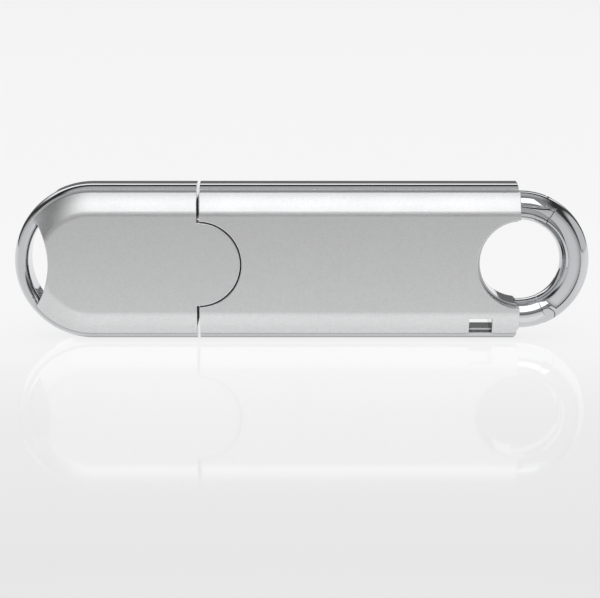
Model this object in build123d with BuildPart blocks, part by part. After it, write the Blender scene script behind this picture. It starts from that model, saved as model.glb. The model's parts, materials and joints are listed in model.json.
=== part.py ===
from build123d import *

import os
from math import cos, radians, sin

# A USB flash drive with a pull-off cap and a ring with a spring gate, standing on its long edge.
# +X runs along the drive towards the ring, +Z is up and -Y is the front. The origin is the middle of
# the underside. Millimetres.

# Overall
half_length = 37.9
half_height = 10.28
half_thickness = 4.6
frame_half = 3.0          # half the thickness of the chrome frames; the covers sit on their faces
frame_inside = 8.4        # from the middle line to the inner side of a rail
seam_x = -13.6            # where the cap meets the body
seam_gap = 0.38
frame_end_x = 28.25
cover_end_x = 28.5
plastic_inside = 8.35     # half height of the plastic pieces that fill the frames
rail_merge = 0.4          # walls that join the rails run this far into them

# Crowned outer side of the frames
crown_turn = 34.0
crown_flat = 1.2          # half the width of the flat it stands on
crown_radius = (frame_half - crown_flat) / sin(radians(crown_turn))
rim_inner_fillet = 0.8

# Satin covers: a flat field, a soft shoulder and a convex margin
cover_half = 9.34
shoulder_radius = 2.2
shoulder_turn = 18.0
margin_radius = 7.6
margin_turn = 20.0
edge_round = 0.12
pocket_depth = 0.8
pocket_half = 5.9
pocket_slope = 1.5
body_pocket_x = (-6.6, 19.6)
film_thickness = 0.15
film_inset = 0.6          # from the edges of the plateau it lies on

# Interlocking tongue of the cap's covers
tongue_radius = 5.5
tongue_gap = 0.15
tongue_floor_gap = 0.15

# Round end of the cap and its lens-shaped opening
cap_centre_x = half_height - half_length
lens_radius = 10.4
lens_x = -43.65
lens_setback = 0.25       # from the edge of the covers to the frame's wall behind them
lens_wall = 0.9

# Ring
ring_x = 28.8
ring_outer = half_length - ring_x
ring_inner = 5.3
bore_radius = 5.5         # of the body frame, where the ring runs into it
ring_half = 2.2
ring_outer_fillet = 1.7
ring_inner_fillet = 2.05
relief_radius = 6.0       # outer arc of the crescent relief in the ring's upper half
relief_rise = 1.05        # centre of that arc above the ring's centre
relief_floor = 0.95
relief_span = (-20.0, 100.0)
cut_out_radius = 5.81     # round cut-out of the covers
end_block_x = 20.5        # left side of the solid end behind the ring

# Gate of the ring. Angles are at the ring's centre, from +X towards +Z.
gate_top_angle = 67.0
lap_end_angle = 57.0
gate_foot_angle = -66.0
lap_start = (0.05, 7.58)
lap_slope = -8.1
lap_step = 0.5            # the stub under the lap line stands back this far
lap_step_width = 0.45
lap_step_taper = 42.0
lap_step_angles = (40.0, 93.0)
joint_gap = 0.04
nick_size = 0.42
gate_recess_inner = 6.3
gate_recess_outer = 7.9
gate_recess_depth = 0.45
gate_recess_angles = (-57.0, 62.0)   # its upper end opens onto the stub
gate_recess_slant = 4.0

# Hinge of the gate
pivot_radius = 8.1
pivot_angle = -63.5
knuckle_radius = 0.98
knuckle_relief = 1.1
knuckle_half = 1.1
ear_start = 1.2
ear_end = 2.1
pin_radius = 0.4
pin_running_gap = 0.05
pin_ends = (-1.45, 1.75)
spring_cavity_half = 0.62
spring_cavity_radius = 0.86
spring_radius = 0.6
spring_wire = 0.11
spring_turns = 4

# Strap slot through the body's lower edge, heights from the underside
slot_x = (21.95, 25.0)
slot_z = (1.37, 3.05)
slot_bar_half = 2.0
slot_bar_front = 0.42
corner_clip = (0.45, 0.76)   # off the lower right corner, along X and Z

# USB plug
plug_half_width = 6.0
plug_half_height = 2.25
plug_corner = 0.6
plug_wall = 0.3
plug_tip_x = -25.35
plug_rear_x = -7.4
plug_clearance = 0.15
latch_hole = (2.0, 2.3)
latch_hole_x = plug_tip_x + 6.2
latch_hole_z = 2.9
contact_places = (-3.5, -1.0, 1.0, 3.5)
contact_width = 1.0
contact_thickness = 0.15
contact_setback = 1.4
contact_heel = (0.6, 0.45)   # before the plug's rear, where a contact steps down to the board
contact_tail = 1.8
tongue_setback = 0.5
tongue_root = 4.5

# Plug socket of the cap
socket_depth_gap = 0.45
rib_places = (-3.8, 0.0, 3.8)
rib_half = 0.3
rib_gap = 0.05
rib_merge = 0.3
rib_setbacks = (1.5, 1.0)

# Plastic inner pieces of the body
bezel_end_x = -7.3
shell_end_x = 20.4
plateau_half = 5.7
plateau_end_gap = 0.25    # between the ends of the plateau and those of the pocket
plateau_rise = half_thickness - pocket_depth - film_thickness - frame_half
inner_depth = 2.4
board_ledge = 6.9
board_end_ledge = 0.6

# Circuit board and what is on it
board_half = 7.6
board_half_thickness = 0.4
board_end_x = 19.7
board_notch_x = 14.0
board_notch_radius = 0.8
flash_size = (18.4, 12.0, 1.0)
flash_x = 8.9
controller_size = (7.0, 7.0, 0.9)
controller_x = -0.5
controller_lead_pitch = 0.5
lead_width = 0.22
lead_reach = 0.8
lead_thickness = 0.12
lead_root = 0.2
flash_lead_count = 24
flash_lead_pitch = 0.48
flash_lead_height = 0.6
controller_lead_count = 12
controller_lead_height = 0.55
crystal_size = (5.0, 3.2, 0.9)
crystal_x = 8.5
crystal_corner = 0.5
chip_standoff = 0.1
chip_chamfer = 0.15
regulator_size = (2.9, 1.6, 1.0)
regulator_place = (13.5, 3.2)
capacitor_size = (1.0, 1.8, 0.8)
capacitor_places = ((-5.4, 5.2), (-5.4, -5.2), (6.2, 3.4), (6.2, -3.4), (16.6, 0.8), (11.0, 5.4))
resistor_size = (0.8, 1.6, 0.45)
resistor_places = ((4.6, 5.4), (4.6, -5.4), (8.6, 5.4), (8.6, -5.4), (13.5, -3.6), (15.6, -3.6))


side = Plane((0, 0, half_height), x_dir=(1, 0, 0), z_dir=(0, -1, 0))
ring_axis = Axis((ring_x, 0, half_height), (0, -1, 0))
cap_axis = Axis((cap_centre_x, 0, half_height), (0, -1, 0))

cap_end_x = seam_x - seam_gap / 2
body_start_x = seam_x + seam_gap / 2
cap_pocket_x = (cap_centre_x - 2.2, cap_end_x - 1.4)
slot_low, slot_high = (z - half_height for z in slot_z)
half_field = cover_half - shoulder_radius * sin(radians(shoulder_turn)) - margin_radius * (
    sin(radians(shoulder_turn + margin_turn)) - sin(radians(shoulder_turn))
)
all_through = 4 * half_thickness


def across(x):
    """The plane of a cross-section at x: its own x is the thickness, its y the height."""
    return Plane((x, 0, half_height), x_dir=(0, 1, 0), z_dir=(1, 0, 0))


def ring_point(radius, angle):
    """A point of the ring on the side plane."""
    return (ring_x + radius * cos(radians(angle)), radius * sin(radians(angle)))


pivot = ring_point(pivot_radius, pivot_angle)


def cover_half_section():
    """Upper half of the front cover's section."""
    with BuildLine() as outline:
        field = Line((-half_thickness, 0), (-half_thickness, half_field))
        shoulder = JernArc(field @ 1, field % 1, shoulder_radius, -shoulder_turn)
        margin = JernArc(shoulder @ 1, shoulder % 1, margin_radius, -margin_turn)
        Polyline(margin @ 1, (-frame_half, cover_half), (-frame_half, 0), field @ 0)
    make_face(outline.edges())


def rail_section():
    """Section of the upper rail of a frame, with its crowned outer side."""
    with BuildLine() as outline:
        flat = Line((0, half_height), (crown_flat, half_height))
        crown = JernArc(flat @ 1, (1, 0), crown_radius, -crown_turn)
        Polyline(crown @ 1, (frame_half, frame_inside), (0, frame_inside), flat @ 0)
    make_face(outline.edges())
    mirror(about=Plane.YZ)


def add_cover_pocket(start_x, end_x):
    """Hollows a front cover from behind, with sloping sides."""
    with BuildSketch(across(start_x)) as pocket:
        with BuildLine():
            Polyline(
                (-frame_half, -pocket_half - pocket_slope),
                (-half_thickness + pocket_depth, -pocket_half),
                (-half_thickness + pocket_depth, pocket_half),
                (-frame_half, pocket_half + pocket_slope),
                close=True,
            )
        make_face()
    extrude(pocket.sketch, amount=end_x - start_x, mode=Mode.SUBTRACT)


def add_box(x_range, y_range, z_range, mode=Mode.ADD):
    """A box between two values on each axis, its heights from the middle line."""
    centre = [(low + high) / 2 for low, high in (x_range, y_range, z_range)]
    size = [high - low for low, high in (x_range, y_range, z_range)]
    with Locations((centre[0], centre[1], half_height + centre[2])):
        Box(*size, mode=mode)


def add_plateau(pocket_x, facings):
    """The raised field of a plastic piece that fills the pocket of a cover."""
    x_range = (pocket_x[0] + plateau_end_gap, pocket_x[1] - plateau_end_gap)
    for facing in facings:
        y_range = sorted((facing * inner_depth, facing * (frame_half + plateau_rise)))
        add_box(x_range, y_range, (-plateau_half, plateau_half))


def add_disc(centre, radius, y_range, mode=Mode.ADD):
    """A disc or bore along Y, at a point of the side plane."""
    with BuildSketch(side.offset(-y_range[0])) as disc:
        with Locations(centre):
            Circle(radius)
    extrude(disc.sketch, amount=y_range[0] - y_range[1], mode=mode)


def ring_section():
    """Rounded section of the ring, in the plane through its axis."""
    with Locations((ring_x + (ring_inner + ring_outer) / 2, 0)):
        Rectangle(ring_outer - ring_inner, 2 * ring_half)
    fillet(vertices().group_by(Axis.X)[-1], ring_outer_fillet)
    fillet(vertices().group_by(Axis.X)[0], ring_inner_fillet)


def on_lap(angle, drop=0.0):
    """The point of the lap line at an angle of the ring, or of a parallel line a drop below it."""
    slope = cos(radians(lap_slope)), sin(radians(lap_slope))
    ray = cos(radians(angle)), sin(radians(angle))
    start_z = lap_start[1] - drop
    reach = (lap_start[0] * slope[1] - start_z * slope[0]) / (ray[0] * slope[1] - ray[1] * slope[0])
    return ring_point(reach, angle)


def under_lap():
    """The part of the upper stub under its lap line, from the body to past its end."""
    low_angle, high_angle = lap_step_angles
    with BuildLine() as outline:
        Polyline(
            on_lap(high_angle, lap_step_width),
            on_lap(low_angle, lap_step_width),
            ring_point(1, low_angle),
            ring_point(1, high_angle),
            close=True,
        )
    make_face(outline.edges())


def gate_zone(shrink):
    """What the gate may fill, seen from the side, set back from the fixed stubs by shrink."""
    far = 2 * ring_outer
    with BuildLine() as outline:
        Polyline(
            (ring_x, 0),
            on_lap(lap_end_angle),
            on_lap(gate_top_angle),
            ring_point(far, gate_top_angle),
            ring_point(far, 0),
            ring_point(far, gate_foot_angle),
            close=True,
        )
    make_face(outline.edges())
    if shrink:
        offset(amount=-shrink, kind=Kind.INTERSECTION, mode=Mode.REPLACE)


def cut_relief():
    """A crescent hollow inside the ring's upper half, front and back."""
    low_angle, high_angle = relief_span
    for facing in (-1, 1):
        with BuildSketch(side.offset(-facing * relief_floor)) as crescent:
            with Locations((ring_x, relief_rise)):
                Circle(relief_radius)
            with Locations((ring_x, 0)):
                Circle(gate_recess_inner, mode=Mode.SUBTRACT)
            with BuildLine():
                Polyline(
                    (ring_x, 0),
                    ring_point(ring_outer, low_angle),
                    ring_point(2 * ring_outer, (low_angle + high_angle) / 2),
                    ring_point(ring_outer, high_angle),
                    close=True,
                )
            make_face(mode=Mode.INTERSECT)
        extrude(crescent.sketch, amount=-facing * ring_half, mode=Mode.SUBTRACT)


def cut_nick():
    """The small V where gate and stub meet at the outer side."""
    with BuildSketch(side) as nick:
        with Locations(ring_point(ring_outer + nick_size / 4, gate_top_angle)):
            Rectangle(nick_size, nick_size, rotation=gate_top_angle + 45)
    extrude(nick.sketch, amount=all_through, both=True, mode=Mode.SUBTRACT)


def clip_corner(corner_x, corner_z):
    """Cuts off the body's lower right corner."""
    with BuildSketch(side) as corner:
        with BuildLine():
            Polyline(
                (corner_x - corner_clip[0], corner_z),
                (corner_x, corner_z + corner_clip[1]),
                (corner_x + 1, corner_z + corner_clip[1]),
                (corner_x + 1, corner_z - 1),
                (corner_x - corner_clip[0], corner_z - 1),
                close=True,
            )
        make_face()
    extrude(corner.sketch, amount=all_through, both=True, mode=Mode.SUBTRACT)


def stadium(radius, end_x):
    """Outline of the cap: a half round at the left and straight to end_x."""
    with Locations((cap_centre_x, 0)):
        Circle(radius)
    with Locations(((cap_centre_x + end_x) / 2, 0)):
        Rectangle(end_x - cap_centre_x, 2 * radius)


# Cap -------------------------------------------------------------------------------------------

with BuildPart() as cap_frame:
    with BuildSketch(across(cap_centre_x)):
        rail_section()
        mirror(about=Plane.XZ)
    extrude(amount=cap_end_x - cap_centre_x)
    with BuildSketch(across(cap_centre_x)):
        rail_section()
        low_corners = [v for v in vertices() if abs(v.Y - frame_inside) < 0.01 and abs(v.X) > 1]
        fillet(low_corners, rim_inner_fillet)
    revolve(axis=cap_axis, revolution_arc=180)
    with BuildSketch(side):
        stadium(frame_inside + rail_merge, cap_end_x)
        with Locations((lens_x, 0)):
            Circle(lens_radius + lens_setback + lens_wall, mode=Mode.INTERSECT)
            Circle(lens_radius + lens_setback, mode=Mode.SUBTRACT)
    extrude(amount=frame_half, both=True)

with BuildPart() as cap_front_cover:
    with BuildSketch(across(cap_centre_x)):
        cover_half_section()
        mirror(about=Plane.XZ)
    extrude(amount=cap_end_x - cap_centre_x)
    with BuildSketch(across(cap_centre_x)):
        cover_half_section()
    revolve(axis=cap_axis)
    add_disc((seam_x, 0), tongue_radius, (-half_thickness, -frame_half - tongue_floor_gap))
    add_disc((lens_x, 0), lens_radius, (-all_through, 0), mode=Mode.SUBTRACT)
    add_cover_pocket(*cap_pocket_x)
    rounded = edges().filter_by(
        lambda e: e.geom_type == GeomType.CIRCLE
        and min(abs(e.radius - tongue_radius), abs(e.radius - lens_radius)) < 0.001
        and e.center().Y < 0.01 - half_thickness
    )
    fillet(rounded, edge_round)

with BuildPart() as cap_back_cover:
    mirror(cap_front_cover.part, about=Plane.XZ)

with BuildPart() as cap_liner:
    with BuildSketch(side):
        stadium(plastic_inside, cap_end_x)
        with Locations((lens_x, 0)):
            Circle(lens_radius + lens_setback + lens_wall, mode=Mode.SUBTRACT)
    extrude(amount=frame_half, both=True)
    add_plateau(cap_pocket_x, (-1, 1))
    add_box(
        (plug_tip_x - socket_depth_gap, cap_end_x + 1),
        (-plug_half_height - plug_clearance, plug_half_height + plug_clearance),
        (-plug_half_width - plug_clearance, plug_half_width + plug_clearance),
        mode=Mode.SUBTRACT,
    )
    rib_x = (plug_tip_x + rib_setbacks[0], cap_end_x - rib_setbacks[1])
    for rib_z in rib_places:
        for facing in (-1, 1):
            rib_y = sorted(facing * (plug_half_height + reach) for reach in (rib_gap, rib_merge))
            add_box(rib_x, rib_y, (rib_z - rib_half, rib_z + rib_half))

films = {}
film_half = plateau_half - film_inset
for film_name, pocket_x in (("cap", cap_pocket_x), ("body", body_pocket_x)):
    for film_side, facing in (("front", -1), ("back", 1)):
        inner_y = facing * (frame_half + plateau_rise)
        outer_y = facing * (half_thickness - pocket_depth)
        film_x = (pocket_x[0] + plateau_end_gap + film_inset, pocket_x[1] - plateau_end_gap - film_inset)
        with BuildPart() as film:
            add_box(film_x, sorted((inner_y, outer_y)), (-film_half, film_half))
        films[f"{film_name}_{film_side}_adhesive"] = film.part

# Body ------------------------------------------------------------------------------------------

with BuildPart() as ring_blank:
    with BuildSketch(Plane((0, 0, half_height))):
        ring_section()
    revolve(axis=ring_axis)

with BuildPart() as hinge_ears:
    add(ring_blank.part)
    add_disc(pivot, knuckle_radius, (-all_through, all_through), mode=Mode.INTERSECT)
    add_box((0, 2 * half_length), (-ear_end, ear_end), (-half_height, 0), mode=Mode.INTERSECT)
    add_box((0, 2 * half_length), (-ear_start, ear_start), (-half_height, 0), mode=Mode.SUBTRACT)

with BuildPart() as gate_knuckle:
    add(ring_blank.part)
    add_disc(pivot, knuckle_radius, (-knuckle_half, knuckle_half), mode=Mode.INTERSECT)

with BuildPart() as ring_stubs:
    add(ring_blank.part)
    with BuildSketch(side):
        gate_zone(0)
    extrude(amount=all_through, both=True, mode=Mode.SUBTRACT)
    cut_nick()
    cut_relief()
    add_box((0, frame_end_x), (-ring_half, ring_half), (-ring_outer, ring_outer), mode=Mode.SUBTRACT)
    for facing in (-1, 1):
        floor = ring_half - lap_step
        with BuildSketch(side.offset(-facing * floor)):
            under_lap()
        extrude(amount=-facing * ring_half, taper=-lap_step_taper, mode=Mode.SUBTRACT)
    add(hinge_ears.part)
    add_disc(pivot, knuckle_relief, (-ear_start, ear_start), mode=Mode.SUBTRACT)
    add_disc(pivot, pin_radius, (pin_ends[0], all_through), mode=Mode.SUBTRACT)

with BuildPart() as body_frame:
    block_half = frame_inside + rail_merge
    add_box((end_block_x, frame_end_x), (-frame_half, frame_half), (-block_half, block_half))
    add_disc((ring_x, 0), bore_radius, (-all_through, all_through), mode=Mode.SUBTRACT)
    with BuildSketch(across(body_start_x)):
        rail_section()
        mirror(about=Plane.XZ)
    extrude(amount=frame_end_x - body_start_x)
    add(ring_stubs.part)
    add_box(slot_x, (-all_through, all_through), (slot_low, slot_high), mode=Mode.SUBTRACT)
    for facing in (-1, 1):
        cut_y = sorted((facing * slot_bar_half, facing * all_through))
        add_box(slot_x, cut_y, (slot_low - slot_bar_front, slot_high), mode=Mode.SUBTRACT)
    clip_corner(frame_end_x, -half_height)

with BuildPart() as body_front_cover:
    with BuildSketch(across(body_start_x)):
        cover_half_section()
        mirror(about=Plane.XZ)
    extrude(amount=cover_end_x - body_start_x)
    recess_radius = tongue_radius + tongue_gap
    add_disc((seam_x, 0), recess_radius, (-all_through, 0), mode=Mode.SUBTRACT)
    add_disc((ring_x, 0), cut_out_radius, (-all_through, 0), mode=Mode.SUBTRACT)
    add_box(slot_x, (-all_through, 0), (-half_height, slot_high), mode=Mode.SUBTRACT)
    add_cover_pocket(*body_pocket_x)
    clip_corner(cover_end_x, -cover_half)
    rounded = edges().filter_by(
        lambda e: e.geom_type == GeomType.CIRCLE
        and min(abs(e.radius - recess_radius), abs(e.radius - cut_out_radius)) < 0.001
        and e.center().Y < 0.01 - half_thickness
    )
    fillet(rounded, edge_round)

with BuildPart() as body_back_cover:
    mirror(body_front_cover.part, about=Plane.XZ)

with BuildPart() as plug_bezel:
    add_box((body_start_x, bezel_end_x), (-frame_half, frame_half), (-plastic_inside, plastic_inside))
    with BuildSketch(across(body_start_x)):
        RectangleRounded(2 * plug_half_height, 2 * plug_half_width, plug_corner)
    extrude(amount=bezel_end_x - body_start_x, mode=Mode.SUBTRACT)

with BuildPart() as inner_shell_back:
    add_box((bezel_end_x, shell_end_x), (0, frame_half), (-plastic_inside, plastic_inside))
    add_plateau(body_pocket_x, (1,))
    add_box((bezel_end_x, board_end_x), (0, board_half_thickness), (-board_half, board_half), Mode.SUBTRACT)
    hollow_x = (bezel_end_x, board_end_x - board_end_ledge)
    add_box(hollow_x, (0, inner_depth), (-board_ledge, board_ledge), Mode.SUBTRACT)

with BuildPart() as inner_shell_front:
    mirror(inner_shell_back.part, about=Plane.XZ)

# USB plug --------------------------------------------------------------------------------------

with BuildPart() as usb_shell:
    with BuildSketch(across(plug_tip_x)):
        RectangleRounded(2 * plug_half_height, 2 * plug_half_width, plug_corner)
        RectangleRounded(
            2 * (plug_half_height - plug_wall),
            2 * (plug_half_width - plug_wall),
            plug_corner - plug_wall,
            mode=Mode.SUBTRACT,
        )
    extrude(amount=plug_rear_x - plug_tip_x)
    for hole_z in (-latch_hole_z, latch_hole_z):
        with Locations((latch_hole_x, 0, half_height + hole_z)):
            Box(latch_hole[0], all_through, latch_hole[1], mode=Mode.SUBTRACT)

with BuildPart() as usb_tongue:
    tongue_half = plug_half_width - plug_wall
    tongue_top = plug_half_height - plug_wall
    root_x = (plug_rear_x - tongue_root, plug_rear_x)
    add_box((plug_tip_x + tongue_setback, plug_rear_x), (0, tongue_top), (-tongue_half, tongue_half))
    add_box(root_x, (-tongue_top, 0), (-tongue_half, tongue_half))
    tail_y = (-board_half_thickness - contact_thickness, 0)
    for contact_z in contact_places:
        contact_range = (contact_z - contact_width / 2, contact_z + contact_width / 2)
        add_box(root_x, tail_y, contact_range, mode=Mode.SUBTRACT)
    with BuildSketch(across(plug_tip_x)):
        RectangleRounded(
            2 * (plug_half_height - plug_wall),
            2 * (plug_half_width - plug_wall),
            plug_corner - plug_wall,
        )
    extrude(amount=plug_rear_x - plug_tip_x, mode=Mode.INTERSECT)

with BuildPart() as usb_contacts:
    heel_start, heel_end = (plug_rear_x - reach for reach in contact_heel)
    for contact_z in contact_places:
        contact_range = (contact_z - contact_width / 2, contact_z + contact_width / 2)
        add_box((plug_tip_x + contact_setback, heel_end), (-contact_thickness, 0), contact_range)
        add_box((heel_start, heel_end), tail_y, contact_range)
        foot_y = (-board_half_thickness - contact_thickness, -board_half_thickness)
        add_box((heel_start, plug_rear_x + contact_tail), foot_y, contact_range)

# Circuit board ---------------------------------------------------------------------------------

with BuildPart() as circuit_board:
    add_box(
        (bezel_end_x, board_end_x),
        (-board_half_thickness, board_half_thickness),
        (-board_half, board_half),
    )
    for notch_z in (-board_half, board_half):
        notch_centre = (board_notch_x, notch_z)
        add_disc(notch_centre, board_notch_radius, (-all_through, all_through), mode=Mode.SUBTRACT)


def on_board(x, z, size, facing, gap=0.0):
    """A body of one component, standing gap off the front (-1) or back (1) of the board."""
    near = board_half_thickness + gap
    y_range = sorted((facing * near, facing * (near + size[2])))
    add_box((x - size[0] / 2, x + size[0] / 2), y_range, (z - size[1] / 2, z + size[1] / 2))


with BuildPart() as flash_chip:
    on_board(flash_x, 0, flash_size, -1, chip_standoff)
    chamfer(faces().sort_by(Axis.Y)[0].edges(), chip_chamfer)

with BuildPart() as controller_chip:
    on_board(controller_x, 0, controller_size, 1, chip_standoff)
    chamfer(faces().sort_by(Axis.Y)[-1].edges(), chip_chamfer)


def add_leads(places, facing, root_height, turned=False):
    """Leads with a flat foot on the board: places holds (x of the root, z, sign towards the foot).

    Turned leads run along Z, and their places hold (z of the root, x, sign).
    """
    near = facing * board_half_thickness
    for length, height in ((lead_reach, lead_thickness), (lead_root, root_height)):
        spots = []
        for along, beside, sign in places:
            centre = along + sign * length / 2
            x, z = (beside, centre) if turned else (centre, beside)
            spots.append((x, near + facing * height / 2, half_height + z))
        with Locations(*spots):
            Box(*((lead_width, height, length) if turned else (length, height, lead_width)))


with BuildPart() as flash_leads:
    middle = (flash_lead_count - 1) / 2
    places = [
        (flash_x + sign * flash_size[0] / 2, (n - middle) * flash_lead_pitch, sign)
        for sign in (-1, 1)
        for n in range(flash_lead_count)
    ]
    add_leads(places, -1, flash_lead_height)

with BuildPart() as controller_leads:
    middle = (controller_lead_count - 1) / 2
    half_side = controller_size[0] / 2
    for sign in (-1, 1):
        along_row = [(n - middle) * controller_lead_pitch for n in range(controller_lead_count)]
        beside = [(controller_x + sign * half_side, place, sign) for place in along_row]
        above = [(sign * half_side, controller_x + place, sign) for place in along_row]
        add_leads(beside, 1, controller_lead_height)
        add_leads(above, 1, controller_lead_height, turned=True)

with BuildPart() as crystal:
    on_board(crystal_x, 0, crystal_size, 1)
    fillet(edges().filter_by(Axis.Y), crystal_corner)

with BuildPart() as voltage_regulator:
    on_board(*regulator_place, regulator_size, 1)

with BuildPart() as capacitors:
    for place in capacitor_places:
        on_board(*place, capacitor_size, 1)

with BuildPart() as resistors:
    for place in resistor_places:
        on_board(*place, resistor_size, 1)

# Gate ------------------------------------------------------------------------------------------

with BuildPart() as gate:
    add(ring_blank.part)
    with BuildSketch(side):
        gate_zone(joint_gap)
    extrude(amount=all_through, both=True, mode=Mode.INTERSECT)
    cut_nick()
    cut_relief()
    for facing in (-1, 1):
        relief_y = sorted((facing * knuckle_half, facing * all_through))
        add_disc(pivot, knuckle_relief, relief_y, mode=Mode.SUBTRACT)
    low_angle, high_angle = gate_recess_angles
    inner_turn = high_angle - low_angle
    outer_turn = inner_turn - 2 * gate_recess_slant
    for facing in (-1, 1):
        with BuildSketch(side.offset(-facing * (ring_half - gate_recess_depth))):
            with BuildLine():
                inner_arc = CenterArc((ring_x, 0), gate_recess_inner, low_angle, inner_turn)
                outer_arc = CenterArc(
                    (ring_x, 0), gate_recess_outer, low_angle + gate_recess_slant, outer_turn
                )
                Line(inner_arc @ 0, outer_arc @ 0)
                Line(inner_arc @ 1, outer_arc @ 1)
            make_face()
        extrude(amount=-facing * ring_half, mode=Mode.SUBTRACT)
    add(gate_knuckle.part)
    add_disc(pivot, pin_radius + pin_running_gap, (-all_through, all_through), mode=Mode.SUBTRACT)
    cavity_y = (-spring_cavity_half, spring_cavity_half)
    add_disc(pivot, spring_cavity_radius, cavity_y, mode=Mode.SUBTRACT)

with BuildPart() as gate_pin:
    add_disc(pivot, pin_radius, pin_ends)

with BuildPart() as gate_spring:
    for turn in range(spring_turns):
        turn_y = (2 * turn - spring_turns + 1) * spring_wire
        with BuildSketch(Plane((0, 0, half_height + pivot[1]))):
            with Locations((pivot[0] + spring_radius, turn_y)):
                Circle(spring_wire)
        revolve(axis=Axis((pivot[0], 0, half_height + pivot[1]), (0, 1, 0)))

# Output ----------------------------------------------------------------------------------------

pieces = {
    "body_frame": body_frame.part,
    "body_front_cover": body_front_cover.part,
    "body_back_cover": body_back_cover.part,
    "plug_bezel": plug_bezel.part,
    "inner_shell_front": inner_shell_front.part,
    "inner_shell_back": inner_shell_back.part,
    "circuit_board": circuit_board.part,
    "usb_shell": usb_shell.part,
    "usb_tongue": usb_tongue.part,
    "usb_contacts": usb_contacts.part,
    "controller_chip": controller_chip.part,
    "controller_leads": controller_leads.part,
    "flash_chip": flash_chip.part,
    "flash_leads": flash_leads.part,
    "crystal": crystal.part,
    "voltage_regulator": voltage_regulator.part,
    "capacitors": capacitors.part,
    "resistors": resistors.part,
    "gate_pin": gate_pin.part,
    "gate_spring": gate_spring.part,
    "gate": gate.part,
    "cap_frame": cap_frame.part,
    "cap_front_cover": cap_front_cover.part,
    "cap_back_cover": cap_back_cover.part,
    "cap_liner": cap_liner.part,
}
pieces.update(films)

os.makedirs("parts", exist_ok=True)
for name, piece in pieces.items():
    piece.label = name
    export_step(piece, f"parts/{name}.step")
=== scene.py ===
import json
from math import pi, radians

import bpy
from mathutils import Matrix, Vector

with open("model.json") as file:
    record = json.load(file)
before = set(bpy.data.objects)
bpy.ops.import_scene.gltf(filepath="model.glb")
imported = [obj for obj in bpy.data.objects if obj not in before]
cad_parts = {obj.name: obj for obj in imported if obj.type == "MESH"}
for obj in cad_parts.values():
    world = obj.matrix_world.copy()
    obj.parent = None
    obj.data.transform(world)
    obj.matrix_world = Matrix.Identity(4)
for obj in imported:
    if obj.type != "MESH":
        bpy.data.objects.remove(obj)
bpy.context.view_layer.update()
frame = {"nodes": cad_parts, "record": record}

MM = 0.001


# Node helpers ----------------------------------------------------------------------------------

def new_material(name, **sockets):
    """A material with one Principled shader, and the values of its sockets."""
    material = bpy.data.materials.new(name)
    material.use_nodes = True
    tree = material.node_tree
    shader = tree.nodes["Principled BSDF"]
    for key, value in sockets.items():
        shader.inputs[key.replace("_", " ")].default_value = value
    return material, tree, shader


def node(tree, kind, **settings):
    """A new node; settings are its properties, and inputs is a dict of socket values."""
    item = tree.nodes.new("ShaderNode" + kind)
    for socket, value in settings.pop("inputs", {}).items():
        item.inputs[socket].default_value = value
    for key, value in settings.items():
        setattr(item, key, value)
    return item


def place(tree, scale=(1000.0, 1000.0, 1000.0)):
    """The position on the piece, in millimetres, stretched by a scale."""
    coordinates = node(tree, "TexCoord")
    mapping = node(tree, "Mapping", inputs={"Scale": scale})
    tree.links.new(coordinates.outputs["Object"], mapping.inputs["Vector"])
    return mapping.outputs["Vector"]


def noise(tree, vector, scale, detail=2.0, roughness=0.5):
    """Noise at a scale of so many cells per millimetre."""
    item = node(tree, "TexNoise", inputs={"Scale": scale, "Detail": detail, "Roughness": roughness})
    tree.links.new(vector, item.inputs["Vector"])
    return item.outputs["Fac"]


def remap(tree, value, from_min, from_max, to_min, to_max):
    """A value moved from one range to another, and held inside it."""
    item = node(
        tree, "MapRange",
        inputs={"From Min": from_min, "From Max": from_max, "To Min": to_min, "To Max": to_max},
    )
    tree.links.new(value, item.inputs["Value"])
    return item.outputs["Result"]


def math(tree, operation, first, second=None):
    """A Math node on one or two values, each a number or an output."""
    item = node(tree, "Math", operation=operation)
    for index, value in enumerate((first, second)):
        if value is None:
            continue
        if isinstance(value, (int, float)):
            item.inputs[index].default_value = value
        else:
            tree.links.new(value, item.inputs[index])
    return item.outputs["Value"]


def blend(tree, factor, first, second):
    """A mix of two colours by a varying factor."""
    item = node(tree, "Mix", data_type="RGBA")
    tree.links.new(factor, item.inputs["Factor"])
    for socket, colour in (("A", first), ("B", second)):
        target = [s for s in item.inputs if s.name == socket and s.type == "RGBA"][0]
        if isinstance(colour, tuple):
            target.default_value = colour
        else:
            tree.links.new(colour, target)
    return [s for s in item.outputs if s.type == "RGBA"][0]


def bump(tree, height, distance, normal=None, strength=1.0):
    """A bump whose full height is a distance in millimetres."""
    item = node(tree, "Bump", inputs={"Distance": distance * MM, "Strength": strength})
    tree.links.new(height, item.inputs["Height"])
    if normal is not None:
        tree.links.new(normal, item.inputs["Normal"])
    return item.outputs["Normal"]


def soft_edges(tree, radius):
    """The surface normal with its edges rounded over a radius in millimetres."""
    return node(tree, "Bevel", samples=6, inputs={"Radius": radius * MM}).outputs["Normal"]


def edge_mask(tree, radius):
    """1 within about a radius of a sharp edge, 0 elsewhere."""
    geometry = node(tree, "NewGeometry")
    dot = node(tree, "VectorMath", operation="DOT_PRODUCT")
    tree.links.new(soft_edges(tree, radius), dot.inputs[0])
    tree.links.new(geometry.outputs["Normal"], dot.inputs[1])
    return remap(tree, dot.outputs["Value"], 0.98, 0.85, 0.0, 1.0)


def painted_crease_shade(tree, distance, darkest):
    """Painted shade: 1 in the open, down to a darkest value in creases within a distance in millimetres."""
    item = node(tree, "AmbientOcclusion", samples=8, inputs={"Distance": distance * MM})
    return remap(tree, item.outputs["AO"], 0.35, 0.95, darkest, 1.0)


def shaded(tree, colour, amount):
    """A colour darkened where amount falls below 1."""
    return blend(tree, amount, grey(0.02), colour)


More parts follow.
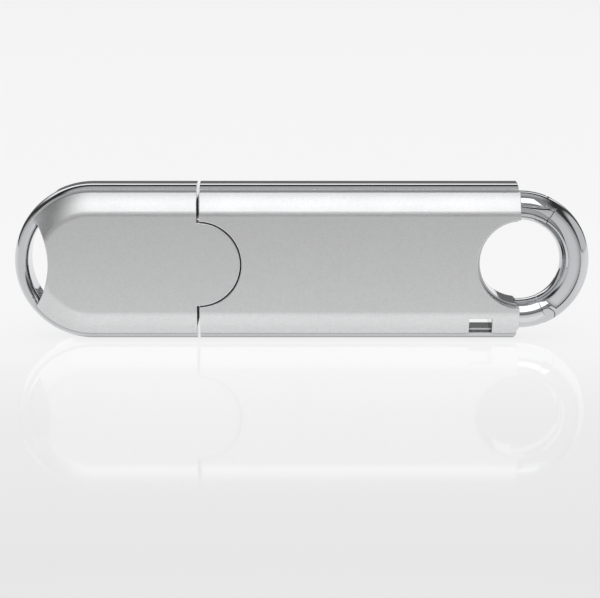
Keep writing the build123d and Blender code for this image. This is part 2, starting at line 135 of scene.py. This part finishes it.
def grey(value):
    """A neutral colour."""
    return (value, value, value, 1.0)


# Materials of the outside ----------------------------------------------------------------------

def chrome():
    """Polished plating: faint waviness, hairlines, a duller film on the edges, and painted shade darkening
    the colour in creases and between parts.
    """
    material, tree, shader = new_material("chrome", Base_Color=grey(0.62), Metallic=1.0)
    spot = place(tree)
    waves = noise(tree, spot, 0.35, 1.0)
    lines = noise(tree, place(tree, (250.0, 6000.0, 9000.0)), 1.0, 3.0)
    smudge = noise(tree, spot, 0.6, 3.0)
    edges = edge_mask(tree, 0.08)
    rough = remap(tree, smudge, 0.4, 0.75, 0.035, 0.085)
    rough = math(tree, "ADD", rough, remap(tree, edges, 0.0, 1.0, 0.0, 0.09))
    tree.links.new(rough, shader.inputs["Roughness"])
    tint = blend(tree, smudge, (0.59, 0.605, 0.63, 1.0), (0.64, 0.645, 0.65, 1.0))
    # painted shade: the colour is darkened in creases and between parts, where shadow falls
    tree.links.new(shaded(tree, tint, painted_crease_shade(tree, 0.6, 0.35)), shader.inputs["Base Color"])
    rolled = bump(tree, waves, 0.01, soft_edges(tree, 0.09))
    tree.links.new(bump(tree, lines, 0.0002, rolled), shader.inputs["Normal"])
    return material


def satin_silver():
    """Fine blasted satin plating: a grain of a tenth of a millimetre, and edges painted brighter, partly
    rubbed wear and partly a painted highlight.
    """
    material, tree, shader = new_material("satin_silver", Base_Color=grey(0.66), Metallic=1.0)
    spot = place(tree)
    grain = noise(tree, spot, 6.5, 2.0, 0.6)
    mottle = noise(tree, spot, 1.6, 3.0, 0.55)
    cloud = noise(tree, spot, 0.12, 2.0)
    edges = edge_mask(tree, 0.1)
    speck = remap(tree, grain, 0.3, 0.7, 0.0, 1.0)
    tone = blend(tree, speck, (0.615, 0.62, 0.63, 1.0), (0.725, 0.727, 0.73, 1.0))
    tone = blend(tree, remap(tree, mottle, 0.35, 0.7, 0.0, 0.22), tone, (0.78, 0.78, 0.785, 1.0))
    # edges painted brighter: partly rubbed wear, partly a painted highlight along the edges
    tone = blend(tree, remap(tree, edges, 0.0, 1.0, 0.0, 0.8), tone, (0.86, 0.86, 0.87, 1.0))
    tree.links.new(tone, shader.inputs["Base Color"])
    rough = remap(tree, cloud, 0.3, 0.7, 0.35, 0.39)
    rough = math(tree, "ADD", rough, remap(tree, grain, 0.3, 0.7, -0.03, 0.03))
    rough = math(tree, "SUBTRACT", rough, remap(tree, edges, 0.0, 1.0, 0.0, 0.16))
    tree.links.new(rough, shader.inputs["Roughness"])
    rolled = soft_edges(tree, 0.12)
    tree.links.new(bump(tree, grain, 0.006, rolled), shader.inputs["Normal"])
    return material


# Materials of the inside -----------------------------------------------------------------------

def moulded(name, dark, light, roughness, scale=4.0):
    """Spark-eroded moulded plastic: a fine pebble, and shinier on rubbed edges."""
    material, tree, shader = new_material(name)
    spot = place(tree)
    pebble = noise(tree, spot, scale, 3.0, 0.6)
    cloud = noise(tree, spot, 0.3, 2.0)
    edges = edge_mask(tree, 0.12)
    tone = blend(tree, cloud, dark, light)
    tree.links.new(blend(tree, remap(tree, edges, 0.0, 1.0, 0.0, 0.35), tone, grey(light[0] * 1.7 + 0.02)),
                   shader.inputs["Base Color"])
    rough = math(tree, "ADD", remap(tree, pebble, 0.3, 0.7, roughness - 0.05, roughness + 0.07),
                 remap(tree, edges, 0.0, 1.0, 0.0, -0.15))
    tree.links.new(rough, shader.inputs["Roughness"])
    tree.links.new(bump(tree, pebble, 0.012, soft_edges(tree, 0.1)), shader.inputs["Normal"])
    return material


def plated(name, low, high, roughness, drawn=(60.0, 1500.0, 1500.0), radius=0.05):
    """Plated sheet metal with drawn lines along X, small scuffs and rubbed edges."""
    material, tree, shader = new_material(name, Metallic=1.0)
    spot = place(tree)
    lines = noise(tree, place(tree, drawn), 1.0, 3.0, 0.6)
    scuffs = noise(tree, spot, 1.1, 4.0, 0.65)
    edges = edge_mask(tree, radius)
    tone = blend(tree, scuffs, low, high)
    tree.links.new(blend(tree, remap(tree, edges, 0.0, 1.0, 0.0, 0.7), tone, grey(0.9)),
                   shader.inputs["Base Color"])
    rough = math(tree, "ADD", remap(tree, lines, 0.3, 0.7, roughness - 0.05, roughness + 0.07),
                 remap(tree, scuffs, 0.5, 0.75, 0.0, 0.12))
    tree.links.new(rough, shader.inputs["Roughness"])
    tree.links.new(bump(tree, lines, 0.002, soft_edges(tree, radius)), shader.inputs["Normal"])
    return material


def solder_mask():
    """Green mask over copper: raised traces in cells that run either way, small vias and laminate."""
    material, tree, shader = new_material("board_green", Coat_Weight=0.4, Coat_Roughness=0.12)
    spot = place(tree)
    cells = node(tree, "TexVoronoi", inputs={"Scale": 0.28})
    tree.links.new(spot, cells.inputs["Vector"])
    parts = node(tree, "SeparateColor")
    tree.links.new(cells.outputs["Color"], parts.inputs["Color"])
    across = node(tree, "TexWave", bands_direction="X", inputs={"Scale": 0.42, "Distortion": 0.0})
    along = node(tree, "TexWave", bands_direction="Z", inputs={"Scale": 0.42, "Distortion": 0.0})
    for wave in (across, along):
        tree.links.new(spot, wave.inputs["Vector"])
    turned = math(tree, "GREATER_THAN", parts.outputs["Red"], 0.5)
    routed = node(tree, "Mix", data_type="FLOAT")
    tree.links.new(turned, routed.inputs[0])
    tree.links.new(across.outputs["Fac"], routed.inputs[2])
    tree.links.new(along.outputs["Fac"], routed.inputs[3])
    traces = remap(tree, routed.outputs[0], 0.62, 0.7, 0.0, 1.0)
    poured = math(tree, "GREATER_THAN", parts.outputs["Green"], 0.72)
    copper = math(tree, "MAXIMUM", traces, poured)
    dots = node(tree, "TexVoronoi", inputs={"Scale": 0.55})
    tree.links.new(spot, dots.inputs["Vector"])
    via = remap(tree, dots.outputs["Distance"], 0.12, 0.1, 0.0, 1.0)
    weave = noise(tree, spot, 3.0, 2.0)
    mask = blend(tree, weave, (0.004, 0.05, 0.022, 1.0), (0.008, 0.075, 0.034, 1.0))
    tone = blend(tree, copper, mask, (0.02, 0.19, 0.08, 1.0))
    tone = blend(tree, via, tone, (0.75, 0.6, 0.3, 1.0))
    tree.links.new(tone, shader.inputs["Base Color"])
    tree.links.new(via, shader.inputs["Metallic"])
    tree.links.new(remap(tree, weave, 0.3, 0.7, 0.3, 0.42), shader.inputs["Roughness"])
    tree.links.new(bump(tree, copper, 0.035, soft_edges(tree, 0.08)), shader.inputs["Normal"])
    return material


def film():
    """Clear acrylic transfer film: cloudy, with trapped air."""
    material, tree, shader = new_material("adhesive_film", Specular_IOR_Level=0.35)
    spot = place(tree)
    cloud = noise(tree, spot, 0.8, 4.0, 0.6)
    tone = blend(tree, cloud, (0.55, 0.54, 0.5, 1.0), (0.8, 0.79, 0.75, 1.0))
    tree.links.new(tone, shader.inputs["Base Color"])
    tree.links.new(remap(tree, cloud, 0.3, 0.7, 0.25, 0.6), shader.inputs["Roughness"])
    tree.links.new(bump(tree, cloud, 0.02), shader.inputs["Normal"])
    return material


finishes = {
    "chrome": chrome(),
    "satin_silver": satin_silver(),
    "black_plastic": moulded("black_plastic", grey(0.012), grey(0.022), 0.46),
    "grey_plastic": moulded("grey_plastic", grey(0.075), grey(0.11), 0.5),
    "board_green": solder_mask(),
    "plug_steel": plated("plug_steel", grey(0.62), (0.72, 0.71, 0.7, 1.0), 0.2),
    "tongue_plastic": moulded("tongue_plastic", grey(0.7), grey(0.78), 0.42, 3.0),
    "contact_gold": plated("contact_gold", (0.86, 0.6, 0.24, 1.0), (0.95, 0.72, 0.36, 1.0), 0.2),
    "chip_black": moulded("chip_black", grey(0.018), grey(0.03), 0.6, 7.0),
    "tinned_lead": plated("tinned_lead", grey(0.66), grey(0.76), 0.27),
    "crystal_can": plated("crystal_can", (0.66, 0.65, 0.61, 1.0), (0.76, 0.75, 0.71, 1.0), 0.24),
    "ceramic_tan": moulded("ceramic_tan", (0.33, 0.22, 0.12, 1.0), (0.42, 0.29, 0.17, 1.0), 0.4, 7.0),
    "resistor_black": moulded("resistor_black", grey(0.02), grey(0.035), 0.3, 7.0),
    "pin_steel": plated("pin_steel", grey(0.55), grey(0.66), 0.22),
    "adhesive_film": film(),
}
for part in frame["record"]["subparts"]:
    frame["nodes"][part["node"]].data.materials[0] = finishes[part["material_slot"]]

# Camera ----------------------------------------------------------------------------------------

CAMERA_PLACE = (-0.28, -298.1, 59.05)   # millimetres
CAMERA_DOWN = 10.295                    # degrees below level
LENS = 136.7

camera_data = bpy.data.cameras.new("camera")
camera_data.lens = LENS
camera = bpy.data.objects.new("camera", camera_data)
camera.location = Vector(CAMERA_PLACE) * MM
camera.rotation_euler = (radians(90 - CAMERA_DOWN), 0, 0)
bpy.context.scene.collection.objects.link(camera)
bpy.context.scene.camera = camera

# Floor -----------------------------------------------------------------------------------------

FLOOR_HALF = 2   # metres
# Painted light: glow of the white floor panel, brighter near the drive and dimmer far in front, against the
# distance behind the drive's middle, in millimetres
FLOOR_PAINTED_LIGHT = (
    (-900, 0.2), (-400, 0.26), (-200, 0.36), (-135, 0.52), (-114, 0.74), (-82, 0.78), (-49, 0.81), (-10, 0.9),
    (27, 0.92), (100, 0.915), (196, 0.91), (488, 0.905), (862, 0.89), (1500, 0.86),
)


def brightness_ramp(tree, value, stops):
    """A ramp of greys from (place, brightness) stops, over a value that runs from 0 to 1."""
    ramp = node(tree, "ValToRGB")
    elements = ramp.color_ramp.elements
    while len(elements) > 1:
        elements.remove(elements[-1])
    first, last = stops[0][0], stops[-1][0]
    elements[0].position = 0.0
    elements[0].color = grey(stops[0][1])
    for spot, brightness in stops[1:]:
        elements.new((spot - first) / (last - first)).color = grey(brightness)
    tree.links.new(value, ramp.inputs["Fac"])
    return ramp.outputs["Color"]


mesh = bpy.data.meshes.new("floor")
corners = [(x * FLOOR_HALF, y * FLOOR_HALF, 0) for x, y in ((-1, -1), (1, -1), (1, 1), (-1, 1))]
mesh.from_pydata(corners, [], [(0, 1, 2, 3)])
floor = bpy.data.objects.new("floor", mesh)
bpy.context.scene.collection.objects.link(floor)
floor_material = bpy.data.materials.new("floor")
floor_material.use_nodes = True
tree = floor_material.node_tree
tree.nodes.clear()
depth = node(tree, "SeparateXYZ")
tree.links.new(place(tree), depth.inputs["Vector"])
reach = remap(tree, depth.outputs["Y"], FLOOR_PAINTED_LIGHT[0][0], FLOOR_PAINTED_LIGHT[-1][0], 0.0, 1.0)
matt = node(tree, "BsdfDiffuse", inputs={"Color": grey(0.12)})
# painted light: the floor glows by position instead of being lit, so it stays bright under and around the
# drive
painted_floor_glow = node(tree, "Emission")
tree.links.new(brightness_ramp(tree, reach, FLOOR_PAINTED_LIGHT), painted_floor_glow.inputs["Color"])
panel = node(tree, "AddShader")
gloss = node(tree, "BsdfGlossy", inputs={"Color": grey(1.0), "Roughness": 0.04})
both = node(tree, "MixShader", inputs={"Fac": 0.12})
output = node(tree, "OutputMaterial")
tree.links.new(matt.outputs[0], panel.inputs[0])
tree.links.new(painted_floor_glow.outputs[0], panel.inputs[1])
tree.links.new(panel.outputs[0], both.inputs[1])
tree.links.new(gloss.outputs[0], both.inputs[2])
tree.links.new(both.outputs[0], output.inputs["Surface"])
mesh.materials.append(floor_material)

# Light -----------------------------------------------------------------------------------------

# Brightness of the room against elevation in degrees, behind and in front of the drive
BACK = (
    (-90, 0.3), (-1, 0.15), (10, 0.17), (17, 0.22), (21, 1.4), (32, 1.4), (36, 0.04), (49, 0.03), (56, 0.55),
    (80, 0.6), (90, 0.4),
)
FRONT = ((-90, 0.3), (0, 0.18), (8, 0.26), (18, 0.4), (75, 0.3), (90, 0.3))
# Brightness to the left and right, against the sideways part of the direction
SIDE = ((0, 0.05), (0.74, 0.05), (0.84, 0.75), (1, 0.75))
CAMERA_WHITE = 0.93   # what the camera itself sees of the room

world = bpy.data.worlds.new("studio")
bpy.context.scene.world = world
world.use_nodes = True
tree = world.node_tree
direction = node(tree, "TexCoord")
axes = node(tree, "SeparateXYZ")
tree.links.new(direction.outputs["Generated"], axes.inputs["Vector"])
elevation = math(tree, "ARCSINE", axes.outputs["Z"])
elevation = remap(tree, elevation, -radians(90), radians(90), 0.0, 1.0)
behind = remap(tree, axes.outputs["Y"], -0.15, 0.15, 0.0, 1.0)
room = blend(tree, behind, brightness_ramp(tree, elevation, FRONT), brightness_ramp(tree, elevation, BACK))
sideways = math(tree, "ABSOLUTE", axes.outputs["X"])
room = blend(
    tree, remap(tree, sideways, 0.42, 0.6, 0.0, 1.0), room, brightness_ramp(tree, sideways, SIDE)
)
seen = node(tree, "LightPath")
room = blend(tree, seen.outputs["Is Camera Ray"], room, grey(CAMERA_WHITE))
background = tree.nodes["Background"]
tree.links.new(room, background.inputs["Color"])


def area_light(name, size, centre, target, strength, reflected=True):
    """A soft box: sizes and places in millimetres, strength as the brightness of its face."""
    data = bpy.data.lights.new(name, "AREA")
    data.shape = "RECTANGLE"
    data.size, data.size_y = size[0] * MM, size[1] * MM
    data.energy = strength * pi * data.size * data.size_y
    item = bpy.data.objects.new(name, data)
    item.location = Vector(centre) * MM
    aim = (Vector(target) - Vector(centre)).normalized()
    item.rotation_euler = aim.to_track_quat("-Z", "Y").to_euler()
    item.visible_glossy = reflected
    bpy.context.scene.collection.objects.link(item)


area_light("softbox", (400, 430), (0, -370, 370), (0, 0, 10), 1.5)
area_light("overhead", (1800, 1800), (0, 500, 900), (0, 300, 0), 0.9, reflected=False)

bpy.context.scene.view_settings.view_transform = "Standard"

bpy.context.view_layer.update()
